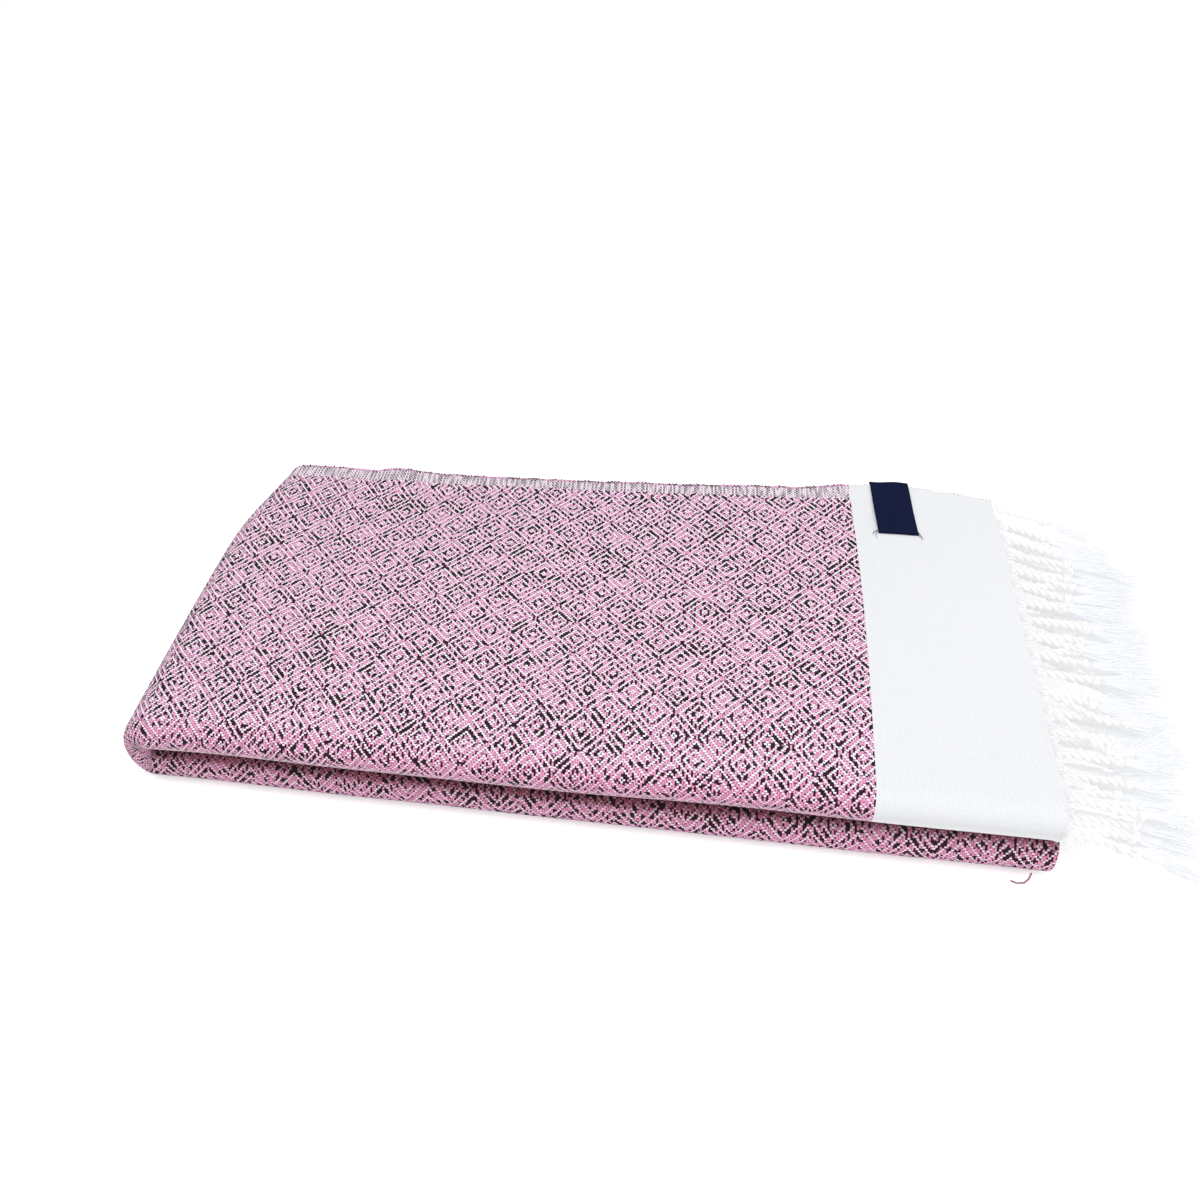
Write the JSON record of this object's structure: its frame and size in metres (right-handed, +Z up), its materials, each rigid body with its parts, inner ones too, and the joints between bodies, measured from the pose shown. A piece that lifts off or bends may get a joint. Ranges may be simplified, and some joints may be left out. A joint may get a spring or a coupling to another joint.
{
  "type": "folded hammam towel",
  "caption": "Flat-woven hammam towel folded into a flat rectangular packet, with a knotted fringe standing out of its open end and a small label over the back edge.",
  "frame": {"origin": "middle of the folded packet's underside, on the surface it lies on", "axes": "+X along the packet's length towards the fringe, +Y from the front folds to the back edge, +Z up"},
  "size_m": [0.5379, 0.2383, 0.0472],
  "materials": {
    "pink_weave": "flat-woven cotton, pink and black weft on white warp in point-twill diamonds, with plain white end bands, matt",
    "white_yarn": "twisted and knotted white cotton yarn, matt",
    "navy_label": "close-woven navy ribbon with a faint satin sheen"
  },
  "bodies": {
    "root": {"cloth": "pink_weave", "fringe_outer_end": "white_yarn", "fringe_inner_end": "white_yarn", "label": "navy_label"}
  },
  "joints": []
}
